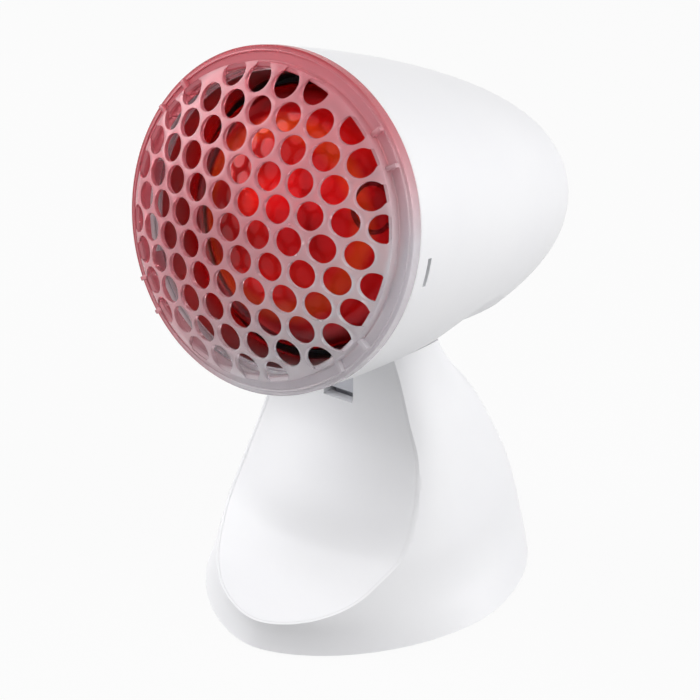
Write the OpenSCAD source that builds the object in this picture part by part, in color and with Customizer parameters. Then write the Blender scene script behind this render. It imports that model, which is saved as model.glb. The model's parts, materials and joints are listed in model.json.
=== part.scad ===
// Infrared heat therapy lamp: a bullet-shaped lamp head that tilts in five clicks on a
// drop-shaped stand, with a clear domed safety grille in front of a ruby reflector bulb.
// Millimetres. The lamp faces -Y, +Z is up, and the origin is on the table, in the middle
// of the stand's footprint.

/* [Stand] */
// Width of the stand at its foot
base_w = 125; // [121:1:128]
// Depth of the stand at its foot, front to back
base_d = 147; // [144:1:150]
// Height of the front notch's floor above the table
notch_z = 81; // [79:1:82]
// Width of the notch that the tilt arm moves in
notch_w = 13.4; // [13:0.1:14]
// Wall thickness of the stand's shells
base_wall = 2.6; // [2.4:0.1:2.8]

/* [Head] */
// Radius of the head's front rim
head_r = 60; // [59.5:0.1:60.5]
// Length of the head from the rim to the tail
head_len = 180; // [178:1:184]
// Height of the centre of the face above the table
face_z = 166.6; // [166:0.2:168]
// How far the face looks up at the lowest click
rest_tilt = 14; // [13.5:0.5:14.5]
// Wall thickness of the head's housing
head_wall = 2.4; // [2.2:0.1:2.6]

/* [Tilt joint] */
// Distance of the tilt axis behind the middle of the stand
pivot_y = 5; // [4:0.5:6]
// Height of the tilt axis above the table
pivot_z = 84; // [83:0.5:84.5]
// Diameter of the hinge pin
pin_d = 6; // [5:0.5:6.5]
// Angle between two clicks
click = 5; // [4:0.5:5]

/* [Grille] */
// Distance between the centres of neighbouring holes
hole_pitch = 11.3; // [11:0.1:11.6]
// Diameter of the grille's holes
hole_d = 9.8; // [9:0.1:10]
// Height of the dome's middle in front of the rim
dome_h = 21; // [20:0.5:22]
// Thickness of the grille's moulding
grille_t = 2; // [1.8:0.1:2.2]

/* [Bulb] */
// Diameter of the reflector bulb
bulb_d = 95; // [93:1:96]
// Distance of the bulb's face behind the rim
bulb_s = 4; // [3:0.5:4]

/* [Hidden] */

$fn = 64;
gap = 0.3;               // air between parts that move past each other
far = 400;               // longer than anything here, for cuts that run right through

// ---- Curves ----------------------------------------------------------------------

// Smooth value at x from a table of [x, value] knots (a spline through the knots)
function knot(t, i) = t[max(0, min(len(t) - 1, i))];
function seg(t, x, i = 0) = i >= len(t) - 2 || x < t[i + 1][0] ? i : seg(t, x, i + 1);
function slope(t, i) = (knot(t, i + 1)[1] - knot(t, i - 1)[1])
    / (knot(t, i + 1)[0] - knot(t, i - 1)[0]);
function hermite(a, b, ma, mb, w, u) = (2*u*u*u - 3*u*u + 1) * a + (u*u*u - 2*u*u + u) * w * ma
    + (3*u*u - 2*u*u*u) * b + (u*u*u - u*u) * w * mb;
function curve(t, x) = let(i = seg(t, x), a = t[i], b = t[i + 1], w = b[0] - a[0])
    hermite(a[1], b[1], slope(t, i), slope(t, i + 1), w, (x - a[0]) / w);

// A power that keeps the sign of its base
function spow(v, p) = sign(v) * pow(abs(v), p);

// Solid through a stack of rings with the same number of points, from the bottom up
module loft(rings) {
    n = len(rings[0]);
    m = len(rings);
    sides = [for (k = [0 : m - 2], i = [0 : n - 1]) let(j = (i + 1) % n)
        each [[k*n + i, k*n + n + i, k*n + n + j], [k*n + i, k*n + n + j, k*n + j]]];
    polyhedron([for (ring = rings) each ring], concat(sides, [[for (i = [0 : n - 1]) i]],
        [[for (i = [n - 1 : -1 : 0]) (m - 1)*n + i]]), convexity = 6);
}

// Tube along the current Z, from z0 to z1
module ring(r_out, r_in, z0, z1) rotate_extrude()
    translate([r_in, z0]) square([r_out - r_in, z1 - z0]);

// Round bar along the current Z, from z0 to z1
module bar(r, z0, z1) translate([0, 0, z0]) cylinder(r = r, h = z1 - z0);

// Screw along Z: a head on top of z_head and a shank that goes down from it
module screw(z_head, length, d = 3, head_d = 6, head_h = 1.8) {
    bar(d/2, z_head - length, z_head);
    bar(head_d/2, z_head, z_head + head_h);
}

// ---- Stand: shape ------------------------------------------------------------------

base_floor_z = 1;        // the shells stop this far above the table
base_top_z = 108;        // height of the form that the neck is cut from

// Half width, rear reach and front reach of the stand's body at each height
wide = [[0, base_w/2], [3, base_w/2 - 1.7], [8, base_w/2 - 4.3], [15, base_w/2 - 7.7],
    [23, 52.4], [33, 50.5], [45, 47.3], [70, 39.8], [90, 34], [108, 30.5]];
rear = [[0, base_d/2], [8, base_d/2 - 0.2], [15, base_d/2 - 1.5], [23, base_d/2 - 3.3],
    [33, 66.9], [45, 61.7], [70, 46.4], [90, 27.5], [108, 12]];
front = [[0, base_d/2], [3, base_d/2 - 1.4], [8, base_d/2 - 2.8], [15, base_d/2 - 3.5],
    [23, 65.5], [33, 54.9], [45, 44], [70, 28.8], [90, 26], [108, 23.5]];
// How square the outline is, where 2 would be an ellipse: its front half is slightly
// pointed at the foot, and both halves grow squarer towards the neck
front_square = [[0, 1.69], [8, 1.77], [15, 1.82], [23, 1.9], [33, 2.07], [45, 2.18],
    [70, 2.3], [108, 2.3]];
rear_square = [[0, 2.02], [8, 2.14], [15, 2.24], [23, 2.3], [108, 2.3]];

// Front cover: how far its middle line stands in front of the stand's middle, and how far
// its sides fall back at the half width `cover_half`
cover_front = [[0, 90], [8, 76], [12, 69], [16.5, 60.2], [19.5, 55.1], [23, 50.6], [28, 45.9],
    [33, 42], [45, 35.8], [59, 26.9], [70, 20.4], [81, 16.9], [95, 16.4], [108, 17]];
cover_bulge = [[0, 4], [22.4, 5], [33, 8.5], [45, 11], [59, 9.5], [70, 6], [81, 2], [95, 1.4],
    [108, 1.4]];
cover_half = 40;
cover_t = 2.6;           // thickness of the front cover
cover_rim = 1.2;         // the shell's edge round the cover is this wide
seam = 0.2;              // open line between the cover and the shell

function body_ring(z, inset, n) = let(a = curve(wide, z) - inset,
        reach = [curve(front, z) - inset, curve(rear, z) - inset],
        power = [2 / curve(front_square, z), 2 / curve(rear_square, z)])
    [for (i = [0 : n - 1]) let(t = 360 * i / n, c = cos(t), s = sin(t), half = s > 0 ? 1 : 0)
        [a * spow(c, power[half]), reach[half] * spow(s, power[half]), z]];

// The levels that the stand's forms are drawn at, closer together near the toe
base_levels = [1, 2, 4, 6, 8, 10, 12, 14, 16, 18, 20, 22.5, 25, 28, 32, 36, 41, 46, 52, 58, 64,
    70, 76, 82, 90, 98, 108];

// Outline of everything behind the front cover's surface, moved back by `back`
function cover_ring(z, back, n) = let(y0 = -curve(cover_front, z) + back,
        b = curve(cover_bulge, z), w = base_w / 2 + 8)
    concat([for (i = [0 : n]) let(x = -w + 2 * w * i / n)
        [x, y0 + b * pow(x / cover_half, 2), z]], [[w, base_d, z], [-w, base_d, z]]);

module stand_form(inset = 0, from = base_floor_z, n = 48)
    loft([for (z = base_levels) if (z >= from) body_ring(z, inset, n)]);

module behind_cover(back = 0, n = 16)
    loft(concat([cover_ring(-6, back, n)], [for (z = base_levels) cover_ring(z, back, n)],
        [cover_ring(base_top_z + 3, back, n)]));

// ---- Head: placing and shape ---------------------------------------------------------

face_y = 15 - base_d/2;

// Head frame: x to the right, y up across the face, z forwards out of the face.
// A place at the distance s behind the face has z = -s.
module head_place(tilt = 0)
    translate([0, pivot_y, pivot_z]) rotate([-tilt, 0, 0]) translate([0, -pivot_y, -pivot_z])
        translate([0, face_y, face_z]) rotate([90 - rest_tilt, 0, 0]) children();

// Radius of the bullet at the distance s behind the face
function bullet(s) = (head_r - 0.2) * pow(1 - pow(s / head_len, 1.5), 1 / 2.75);

// Relief under the head: a wide hollow that keeps clear of the stand as the head tips back
relief_r = 120;
relief_s = 103.3;        // distance of the hollow's centre line behind the face
relief_d = 166.7;        // distance of that line below the head's axis
relief_side = 38;        // the hollow is repeated this many degrees to each side
function relief(s) = relief_d - sqrt(relief_r * relief_r - pow(s - relief_s, 2));

skirt_s = 5;             // the housing starts behind the grille's skirt
tail_steps = 30;
// Distances behind the face, closer together towards the tail
function stations(a, b, n) = [for (i = [0 : n]) a + (b - a) * sin(90 * i / n)];

module housing_form() difference() {
    rotate_extrude() polygon(concat([[0, -skirt_s]],
        [for (s = stations(skirt_s, head_len, tail_steps)) [bullet(s), -s]]));
    for (a = [-relief_side, 0, relief_side]) rotate([0, 0, a])
        translate([0, -relief_d, -relief_s]) rotate([0, 90, 0])
            cylinder(r = relief_r, h = 180, center = true, $fn = 180);
}

// Room that the head needs at every click, with air round it
sweep_s0 = 12;
sweep_s1 = 128;
sweep_n = 9;
function sweep_stations() = [for (i = [0 : sweep_n]) sweep_s0 + (sweep_s1 - sweep_s0) * i / sweep_n];
module head_sweep() {
    head_place() rotate_extrude() polygon(concat([[0, -sweep_s0]],
        [for (s = sweep_stations()) [bullet(s) + gap, -s]], [[0, -sweep_s1]]));
    for (k = [1 : 4]) head_place(k * click) rotate_extrude() polygon(concat([[0, -sweep_s0]],
        [for (s = sweep_stations()) [min(bullet(s), relief(s) / cos(relief_side / 2)) + 2 * gap, -s]],
        [[0, -sweep_s1]]));
}

// ---- Stand: pieces -------------------------------------------------------------------

shell_sides = 32;        // facets round the stand's hollow and round its base plate
plate_z = 2.2;           // underside of the base plate
plate_t = 2.5;
post_r = 4;
// Screw posts of the base plate: [x, y, height of the top]
posts = [[50, 8, 27], [-50, 8, 27], [26, 54, 34], [-26, 54, 34]];
gland_z = 15;
gland_y = curve(rear, gland_z) + 0.6;
gland_d = 11;
cord_d = 6.8;            // bore of the gland
shelf_z = 58;            // the hinge bracket stands on two shelves of this height
shelf_x = 18;
screw_d = 3;
slot_rear = 24;          // the arm's slot runs back to this distance behind the middle
cavity_z = 92;           // highest point of the stand's hollow
cavity_slope = 20;       // its roof falls back as steeply as the head can tip

module arm_slot() translate([-notch_w/2, -far, notch_z])
    cube([notch_w, far + slot_rear, far]);

module stand_cavity() difference() {
    intersection() {
        loft([for (k = [0 : 14]) body_ring(0.5 + (cavity_z - 0.5) * k / 14, base_wall,
            shell_sides)]);
        behind_cover(cover_t + seam + base_wall, 10);
        translate([0, pivot_y, cavity_z]) rotate([-cavity_slope, 0, 0])
            translate([-far/2, -far/2, -far]) cube(far);
    }
    for (p = posts) translate([p[0], p[1], 0]) bar(post_r, plate_z + plate_t, p[2]);
    for (side = [-1, 1]) translate([side * 33, pivot_y, shelf_z - 4])
        cube([38, 14, 8], center = true);
}

module base_shell() color("white") difference() {
    intersection() {
        stand_form();
        behind_cover();
    }
    difference() {
        stand_form(cover_rim, 4);
        behind_cover(cover_t + seam);
    }
    stand_cavity();
    head_sweep();
    arm_slot();
    translate([0, gland_y + 5, gland_z]) rotate([90, 0, 0]) cylinder(d = gland_d, h = 20);
    for (p = posts) translate([p[0], p[1], 0]) bar(screw_d/2, 0, 14);
    for (side = [-1, 1]) translate([side * shelf_x, pivot_y, 0]) bar(screw_d/2, 49, far);
}

module front_cover() color("white") difference() {
    intersection() {
        stand_form(cover_rim + seam, 4);
        behind_cover();
    }
    behind_cover(cover_t);
    head_sweep();
    arm_slot();
}

feet = [[36, -34], [-36, -34], [36, 34], [-36, 34]];
ballast_y = -14;
ballast_r = 31;
stud_x = 22;
stud_r = 2.5;

module base_plate() color("gainsboro") {
    difference() {
        translate([0, 0, plate_z]) linear_extrude(plate_t)
            polygon([for (p = body_ring(plate_z + plate_t, base_wall + gap, shell_sides))
                [p[0], p[1]]]);
        for (p = posts) translate([p[0], p[1], 0]) bar(screw_d/2, 0, 9);
    }
    for (side = [-1, 1]) translate([side * stud_x, ballast_y, 0])
        bar(stud_r, plate_z + plate_t, plate_z + plate_t + 7);
}

module rubber_feet() color("dimgray") for (p = feet) translate([p[0], p[1], 0])
    bar(7, 0, plate_z);

module base_screws() color("silver") for (p = posts) translate([p[0], p[1], plate_z])
    mirror([0, 0, 1]) screw(0, 10, screw_d, 6, 1.5);

module ballast_plate() color("slategray") difference() {
    translate([0, ballast_y, 0]) bar(ballast_r, plate_z + plate_t, plate_z + plate_t + 6);
    for (side = [-1, 1]) translate([side * stud_x, ballast_y, 0]) bar(stud_r, 0, 20);
}

module cord_gland() color("dimgray") translate([0, gland_y, gland_z]) rotate([90, 0, 0])
    rotate_extrude() polygon([[cord_d/2, -0.4], [gland_d/2 - 0.6, -0.4], [gland_d/2, 0.2],
        [gland_d/2, 5.4], [gland_d/2 + 2, 5.4], [gland_d/2 + 2, 7.1], [cord_d/2, 7.1]]);

block = [26, 12, 11];    // terminal block
block_y = 30;
module terminal_block() color("whitesmoke") difference() {
    translate([-block[0]/2, block_y, plate_z + plate_t]) cube(block);
    for (side = [-1, 1]) translate([side * 6, 0, plate_z + plate_t + 5]) {
        translate([0, block_y + far/2, 0]) rotate([90, 0, 0]) cylinder(d = 4, h = far, $fn = 32);
        translate([0, block_y + block[1]/2, 0]) cylinder(d = 4.5, h = far, $fn = 32);
    }
}

arm_t = 11;              // thickness of the tilt arm
washer_t = 0.6;
cheek_in = arm_t/2 + 0.05 + washer_t;
cheek_t = 2;
bracket_t = 2;
cheek_r = 7.4;

module along_x(x0, x1, r) rotate([0, 90, 0]) bar(r, x0, x1);

module pivot_bracket() color("silver") difference() {
    union() {
        translate([-24, pivot_y - 9, shelf_z]) cube([48, 18, bracket_t]);
        for (side = [0, 1]) mirror([side, 0, 0]) {
            translate([cheek_in, pivot_y - cheek_r, shelf_z + bracket_t])
                cube([cheek_t, 2 * cheek_r, pivot_z - shelf_z - bracket_t]);
            translate([0, pivot_y, pivot_z]) along_x(cheek_in, cheek_in + cheek_t, cheek_r);
        }
    }
    translate([0, pivot_y, pivot_z]) along_x(-far/2, far/2, pin_d/2);
    for (side = [-1, 1]) translate([side * shelf_x, pivot_y, 0]) bar(screw_d/2, 0, far);
}

module bracket_screws() color("silver") for (side = [-1, 1])
    translate([side * shelf_x, pivot_y, 0]) screw(shelf_z + bracket_t, 11, screw_d);

pin_end = cheek_in + cheek_t;
clip_t = 0.8;
module hinge_pin() color("silver") translate([0, pivot_y, pivot_z]) {
    along_x(-pin_end - clip_t - 1.2, pin_end, pin_d/2);
    along_x(pin_end, pin_end + 2, pin_d/2 + 2);
}

module pin_clip() color("gray") translate([0, pivot_y, pivot_z]) rotate([0, -90, 0])
    ring(pin_d/2 + 2, pin_d/2, pin_end, pin_end + clip_t);

module friction_washers() color("gray") translate([0, pivot_y, pivot_z])
    for (side = [-90, 90]) rotate([0, side, 0])
        ring(pin_d/2 + 3, pin_d/2, cheek_in - washer_t, cheek_in);

sector_r = 16;           // click sector of the tilt arm, round the tilt axis
notch_r = 0.5;
spring_w = 8;
spring_t = 0.8;
ridge_z = pivot_z - sector_r - gap;
// Bent spring strip: a foot on the bracket and a ridge under the click sector
module click_spring() color("silver") translate([-spring_w/2, pivot_y, 0])
    rotate([90, 0, 90]) linear_extrude(spring_w)
        polygon([[-8, shelf_z + bracket_t], [8, shelf_z + bracket_t], [8.4, ridge_z - 2],
            [1, ridge_z - 0.6], [0, ridge_z], [-1, ridge_z - 0.6], [-5, ridge_z - 1.4],
            [-5, ridge_z - 1.4 - spring_t], [0, ridge_z - 0.6 - spring_t],
            [8.4 - spring_t, ridge_z - 2 - spring_t], [7.4, shelf_z + bracket_t + spring_t],
            [-8, shelf_z + bracket_t + spring_t]]);

// ---- Head: pieces ----------------------------------------------------------------------

lip_r = 57.3;            // the housing's front lip stands inside the grille's skirt
mouth_r = 55.4;          // bore of the lip
lip_s = 1.9;
ledge_s = 8;             // the heat shield's flange rests on a ledge here
ledge_r = 53.4;
ledge_t = 1.6;
cavity_end = 174;
side_slot = [11.2, 13.4]; // the two latch slots lie between these distances behind the face
side_angle = 4.5;        // and this far below the middle of each side
side_len = 10;

bracket_s = 146;         // the lamp holder's bracket starts here
post_x = 24;
pad_y = 46;              // flat inside the bottom, under the arm's screw heads
arm_screw_s = [66, 79];

module head_cavity() difference() {
    rotate_extrude() polygon(concat([[0, 1], [mouth_r, 1], [mouth_r, -ledge_s],
        [ledge_r, -ledge_s], [ledge_r, -ledge_s - ledge_t]],
        [for (s = stations(ledge_s + ledge_t, cavity_end, 24))
            [min(bullet(s), relief(s)) - head_wall, -s]], [[0, -cavity_end]]));
    for (side = [-1, 1]) translate([side * post_x, 0, 0])
        bar(post_r, -far, -bracket_s - bracket_t);
    translate([-7, -pad_y - 20, -84]) cube([14, 20, 26]);
}

module side_slots() for (side = [0, 1]) mirror([side, 0, 0]) rotate([0, 0, -side_angle])
    translate([50, -side_len/2, -side_slot[1]]) cube([20, side_len, side_slot[1] - side_slot[0]]);

module head_housing() color("white") head_place() difference() {
    union() {
        housing_form();
        bar(lip_r, -skirt_s, -lip_s);
    }
    head_cavity();
    side_slots();
    for (s = arm_screw_s) translate([0, 0, -s]) rotate([90, 0, 0]) bar(screw_d/2, 0, far);
}

// Arm between the housing's underside and the hinge pin
horn_y = -14.5;
module tilt_arm() color("white") difference() {
    union() {
        translate([0, pivot_y, pivot_z]) along_x(-arm_t/2, arm_t/2, sector_r);
        translate([-arm_t/2, horn_y, pivot_z]) cube([arm_t, 32, 26]);
    }
    head_place() difference() {
        housing_form();
        translate([-far/2, -far/2, -skirt_s]) cube(far);
    }
    translate([0, pivot_y, pivot_z]) along_x(-arm_t, arm_t, pin_d/2 + 0.05);
    for (k = [0 : 4]) translate([0, pivot_y, pivot_z]) rotate([k * click, 0, 0])
        translate([0, 0, -sector_r]) along_x(-arm_t, arm_t, notch_r);
    head_place() for (s = arm_screw_s) translate([0, 0, -s]) rotate([90, 0, 0])
        bar(screw_d/2, 0, 56);
}

module arm_screws() color("silver") head_place() for (s = arm_screw_s)
    translate([0, 0, -s]) rotate([-90, 0, 0]) screw(-pad_y, 10, screw_d);

// Heat shield: an aluminium bowl round the bulb, hung in the housing by its flange
shield_t = 0.8;
shield = [[6, 52.4], [12, 52.2], [30, 50], [50, 46], [60, 41], [75, 34.5], [92, 27]];
module heat_shield() color("lightgray") head_place() rotate_extrude() polygon(concat(
    [[mouth_r - gap, -ledge_s + shield_t], [mouth_r - gap, -ledge_s]],
    [for (i = [0 : 16]) let(s = ledge_s + 84 * i / 16) [curve(shield, s), -s]],
    [for (i = [16 : -1 : 0]) let(s = ledge_s + 84 * i / 16) [curve(shield, s) - shield_t, -s]],
    [[curve(shield, ledge_s) - shield_t, -ledge_s + shield_t]]));

holder_r = 19;
holder_s = 110;
socket_r = 14.6;
module holder_bracket() color("silver") head_place() difference() {
    union() {
        bar(22, -bracket_s - bracket_t, -bracket_s);
        translate([-29, -8, -bracket_s - bracket_t]) cube([58, 16, bracket_t]);
    }
    for (side = [-1, 1]) {
        translate([side * post_x, 0, 0]) bar(screw_d/2, -far, 0);
        translate([0, side * 16.8, 0]) bar(screw_d/2, -far, 0);
    }
}

post_tip = bracket_s + bracket_t;
module holder_bracket_screws() color("silver") head_place() for (side = [-1, 1])
    translate([side * post_x, 0, 0]) screw(-bracket_s, bracket_t, screw_d);

module lamp_holder() color("ivory") head_place() difference() {
    bar(holder_r, -bracket_s, -holder_s);
    bar(socket_r, -141, 0);
    for (side = [-1, 1]) translate([0, side * 16.8, 0]) bar(screw_d/2, -far, -137);
}

module holder_screws() color("silver") head_place() for (side = [-1, 1])
    translate([0, side * 16.8, 0]) mirror([0, 0, 1]) screw(post_tip, 11, screw_d, 5.6, 1.5);

cap_s = [112, 136];      // the bulb's screw cap lies between these distances
cap_r = 13.1;
module screw_shell() color("goldenrod") head_place()
    ring(socket_r, cap_r + gap, -134, -cap_s[0] - 2);

module centre_contact() color("goldenrod") head_place() bar(5, -141, -140.3);

// ---- Grille ------------------------------------------------------------------------------

dome_edge = 54.5;        // the dome meets the rim's wall at this radius
edge_h = 4.2;            // and at this height in front of the rim
dome_r = (dome_edge * dome_edge + pow(dome_h - edge_h, 2)) / (2 * (dome_h - edge_h));
hole_limit = 52;         // holes beyond this radius are left out
flat_at = 53;            // holes near the rim are cut flat here
rows = 5;
clip_angles = [38, -39.5, 142, 219.5]; // four snap clips, each between two ribs
clip_half = 6.5;         // half of a clip's width, in degrees
rib = [6.6, 1.5, 3.6];   // a rib's length, thickness and height
clip_back = 6.6;         // how far the clips reach back into the housing

function lattice() = [for (j = [-rows : rows], i = [-rows - 3 : rows + 3])
    let(x = hole_pitch * (i + (abs(j) % 2) / 2), y = hole_pitch * sqrt(3) / 2 * j)
        if (norm([x, y]) < hole_limit) [x, y]];

module grille_hole(p) rotate([0, 0, atan2(p[1], p[0])]) intersection() {
    translate([norm(p), 0, -10]) cylinder(d = hole_d, h = 40, $fn = 48);
    translate([flat_at - far, -far/2, -far/2]) cube(far);
}

// Springy tongue with a small barb at its end, just inside the housing's mouth
module hook(half) rotate([0, 0, -half]) rotate_extrude(angle = 2 * half)
    translate([mouth_r - gap, 0]) polygon([[-2, 0], [-2, -clip_back], [-1, -clip_back],
        [0, -clip_back + 1.6], [-0.6, -clip_back + 2.2], [-0.6, 0]]);

module dome(r, edge) intersection() {
    translate([0, 0, dome_h - dome_r]) rotate_extrude() intersection() {
        circle(r = r, $fn = 360);
        translate([0, 0]) square([far, far]);
    }
    bar(edge, 0, dome_h + 1);
}

module safety_grille() color("mistyrose") head_place() difference() {
    union() {
        difference() {
            dome(dome_r, dome_edge);
            dome(dome_r - grille_t, dome_edge - grille_t);
            bar(dome_edge - grille_t, -1, grille_t);
        }
        ring(head_r, dome_edge - grille_t, -1.6, 0.01);
        ring(head_r, 57.6, -skirt_s + gap, -1.6);
        ring(58.6, 57.8, 0, 0.6);
        for (a = clip_angles) {
            for (side = [-1, 1]) rotate([0, 0, a + side * clip_half])
                translate([dome_edge - 2.5, -rib[1]/2, -1]) cube([rib[0], rib[1], rib[2]]);
            rotate([0, 0, a]) hook(5);
        }
        for (side = [0, 1]) mirror([side, 0, 0]) rotate([0, 0, -side_angle]) hook(side_len / 2);
    }
    for (p = lattice()) grille_hole(p);
}

// ---- Bulb --------------------------------------------------------------------------------

bulb_r = bulb_d / 2;
face_r = 100;            // radius of the bulb's slightly domed face
face_edge = 36;          // where the face runs into the shoulder
face_a = asin(face_edge / face_r);
shoulder_r = (bulb_r - face_edge) / (1 - sin(face_a));
widest_s = bulb_s + face_r - (face_r - shoulder_r) * cos(face_a);
bulb_back = [[widest_s, bulb_r], [40, bulb_r - 1.6], [55, 41], [70, 33], [85, 24], [97, 17.5],
    [105, 14.8], [112, cap_r - 0.2]];
glass_t = 1.2;

function glass_profile(t) = concat([[0, -bulb_s - t]],
    [for (i = [1 : 8]) let(a = face_a * i / 8) [(face_r - t) * sin(a),
        -bulb_s - face_r + (face_r - t) * cos(a)]],
    [for (i = [1 : 8]) let(a = face_a + (90 - face_a) * i / 8)
        [bulb_r - shoulder_r + (shoulder_r - t) * sin(a),
            -widest_s + (shoulder_r - t) * cos(a)]],
    [for (i = [1 : 20]) let(s = widest_s + (cap_s[0] - widest_s) * i / 20)
        [curve(bulb_back, s) - t, -s]]);

module bulb_glass() color("firebrick") head_place() rotate_extrude() polygon(concat(
    glass_profile(0), [for (i = [len(glass_profile(glass_t)) - 1 : -1 : 0])
        glass_profile(glass_t)[i]]));

module bulb_stem() color("lightcyan") head_place() {
    bar(5, -cap_s[0], -86);
    bar(8, -cap_s[0], -106);
}

filament_s = 66;
filament_r = 9;
module bulb_filament() color("darkorange") head_place() {
    translate([0, 0, -filament_s]) rotate([0, 0, 30]) rotate_extrude(angle = 300)
        translate([filament_r, 0]) circle(r = 0.9, $fn = 24);
    for (a = [30, 330]) rotate([0, 0, a]) translate([filament_r, 0, 0])
        rotate([0, 0, 0]) bar(0.6, -87, -filament_s);
    for (a = [30, 330]) rotate([0, 0, a]) translate([4, -0.6, -88.2]) cube([5.6, 1.2, 1.2]);
}

cap_t = 0.6;
module bulb_cap() color("silver") head_place() {
    ring(cap_r, cap_r - cap_t, -cap_s[1], -cap_s[0]);
    ring(cap_r - cap_t, 10, -cap_s[1], -cap_s[1] + cap_t);
}

module bulb_insulator() color("dimgray") head_place() rotate_extrude()
    polygon([[0, -cap_s[1] + cap_t], [10, -cap_s[1] + cap_t], [10, -cap_s[1]],
        [cap_r - 1, -cap_s[1]], [6, -138.6], [0, -138.6]]);

module bulb_contact() color("silver") head_place() bar(4.5, -140, -138.6);

base_shell();
front_cover();
base_plate();
rubber_feet();
base_screws();
ballast_plate();
cord_gland();
terminal_block();
pivot_bracket();
bracket_screws();
hinge_pin();
pin_clip();
friction_washers();
click_spring();
head_housing();
tilt_arm();
arm_screws();
heat_shield();
holder_bracket();
holder_bracket_screws();
lamp_holder();
holder_screws();
screw_shell();
centre_contact();
safety_grille();
bulb_glass();
bulb_stem();
bulb_filament();
bulb_cap();
bulb_insulator();
bulb_contact();
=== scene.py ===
# %% [markdown]
# # Infrared heat therapy lamp
# A table lamp for warming sore muscles: a bullet-shaped white head with a ruby reflector
# bulb and a clear domed grille, tilting on a drop-shaped white stand. The solids come
# packed from the CAD model. This script gives them smooth skins and their finishes, and
# sets up a plain studio. Each step starts with a few words on the real piece.

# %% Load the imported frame
import json
import math

import bpy
from mathutils import Matrix, Vector

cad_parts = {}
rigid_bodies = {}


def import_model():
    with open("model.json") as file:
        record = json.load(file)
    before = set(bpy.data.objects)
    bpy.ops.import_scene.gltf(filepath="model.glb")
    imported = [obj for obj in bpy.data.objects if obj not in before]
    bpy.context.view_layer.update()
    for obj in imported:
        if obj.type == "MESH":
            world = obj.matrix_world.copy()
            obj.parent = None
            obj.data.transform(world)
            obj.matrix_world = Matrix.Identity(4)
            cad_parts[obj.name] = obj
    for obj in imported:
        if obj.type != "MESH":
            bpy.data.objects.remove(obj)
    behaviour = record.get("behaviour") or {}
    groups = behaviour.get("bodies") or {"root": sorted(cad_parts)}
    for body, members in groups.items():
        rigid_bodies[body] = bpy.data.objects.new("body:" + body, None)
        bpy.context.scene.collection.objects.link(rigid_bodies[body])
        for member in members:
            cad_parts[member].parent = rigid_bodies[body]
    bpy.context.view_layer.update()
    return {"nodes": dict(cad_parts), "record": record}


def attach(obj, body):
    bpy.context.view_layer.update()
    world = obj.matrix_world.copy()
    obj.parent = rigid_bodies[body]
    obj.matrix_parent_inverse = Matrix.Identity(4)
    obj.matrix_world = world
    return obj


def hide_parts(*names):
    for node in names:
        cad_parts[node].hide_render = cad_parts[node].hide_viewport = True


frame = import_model()
nodes = frame["nodes"]
MM = 0.001
WELD, SLIVER = 2e-6, 1e-6
print("CAD nodes:", len(nodes))

# %% [markdown]
# ## Small tools
# Every piece here starts the same way: nothing selected, a primitive added, edit mode,
# a few operators, and modifiers applied at the end. These few functions hold that
# routine, so that each piece below reads as a list of modelling steps. Points closer
# than WELD metres become one, and edges shorter than SLIVER are dissolved.

# %% Selecting, naming and editing
def only(piece=None):
    """Leave edit mode, deselect everything, and make one piece the active one."""
    if bpy.context.object and bpy.context.object.mode != "OBJECT":
        bpy.ops.object.mode_set(mode="OBJECT")
    bpy.ops.object.select_all(action="DESELECT")
    if piece:
        piece.select_set(True)
        bpy.context.view_layer.objects.active = piece
    return piece


def edit(select="SELECT"):
    """Edit mode on the active piece, with all or none of it selected."""
    bpy.ops.object.mode_set(mode="EDIT")
    bpy.ops.mesh.select_mode(type="VERT")
    bpy.ops.mesh.select_all(action=select)


def named(name):
    """Name the piece just added, and put its place into its mesh."""
    piece = bpy.context.object
    piece.name = name
    piece.data.name = name
    bpy.ops.object.transform_apply(location=True, rotation=True, scale=True)
    return piece


def moved(piece, matrix):
    """Move a piece by a matrix, and put its new place into its mesh."""
    only(piece)
    piece.matrix_world = matrix
    bpy.ops.object.transform_apply(location=True, rotation=True, scale=True)
    return piece


def turned(piece, degrees):
    """Turn a piece round the Z axis."""
    return moved(piece, Matrix.Rotation(math.radians(degrees), 4, "Z"))


def volume(piece):
    """Volume inside a closed mesh, which is negative while its faces look inwards."""
    mesh = piece.data
    mesh.calc_loop_triangles()
    corners = [[mesh.vertices[i].co for i in t.vertices] for t in mesh.loop_triangles]
    return sum(a.dot(b.cross(c)) for a, b, c in corners) / 6


def closed(piece):
    """Merge doubles, drop loose edges and turn all faces outwards."""
    only(piece)
    edit()
    bpy.ops.mesh.remove_doubles(threshold=WELD)
    bpy.ops.mesh.dissolve_degenerate(threshold=SLIVER)
    bpy.ops.mesh.delete_loose()
    bpy.ops.mesh.select_all(action="SELECT")
    bpy.ops.mesh.normals_make_consistent(inside=False)
    bpy.ops.object.mode_set(mode="OBJECT")
    if volume(piece) < 0:
        edit()
        bpy.ops.mesh.flip_normals()
        bpy.ops.object.mode_set(mode="OBJECT")
    return piece


def combine(piece, tool, how="DIFFERENCE"):
    """Cut, join or overlap a piece with a tool piece, which is used up."""
    only(piece)
    step = piece.modifiers.new("combine", "BOOLEAN")
    step.object = tool
    step.operation = how
    step.solver = "EXACT"
    bpy.ops.object.modifier_apply(modifier=step.name)
    bpy.data.objects.remove(tool)
    return piece


def smooth(piece, angle=30):
    """Smooth shading, with edges sharper than the angle kept crisp."""
    only(piece)
    bpy.ops.object.shade_smooth_by_angle(angle=math.radians(angle))
    return piece


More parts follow.
